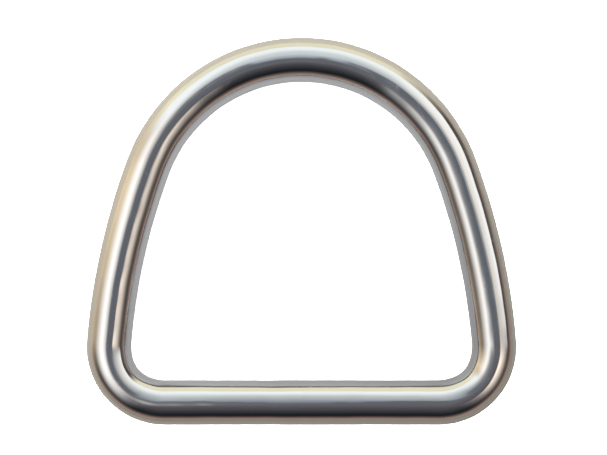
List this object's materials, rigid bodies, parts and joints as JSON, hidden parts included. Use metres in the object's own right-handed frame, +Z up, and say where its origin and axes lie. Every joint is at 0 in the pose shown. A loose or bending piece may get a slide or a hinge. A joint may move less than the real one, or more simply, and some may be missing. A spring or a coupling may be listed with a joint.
{
  "type": "d ring",
  "caption": "Flat D-shaped ring of round steel wire: a straight bar for a strap loop, two tight bends, gently bowed sides and a round arch.",
  "frame": {"origin": "middle of the ring's bounding box in X and Y, on the surface that the ring lies on", "axes": "+X along the straight bar, +Y from the bar to the top of the arch, +Z up, across the wire's thickness"},
  "size_m": [0.048, 0.0432, 0.005],
  "materials": {
    "steel": "polished"
  },
  "bodies": {
    "root": {"ring": "steel"}
  },
  "joints": []
}
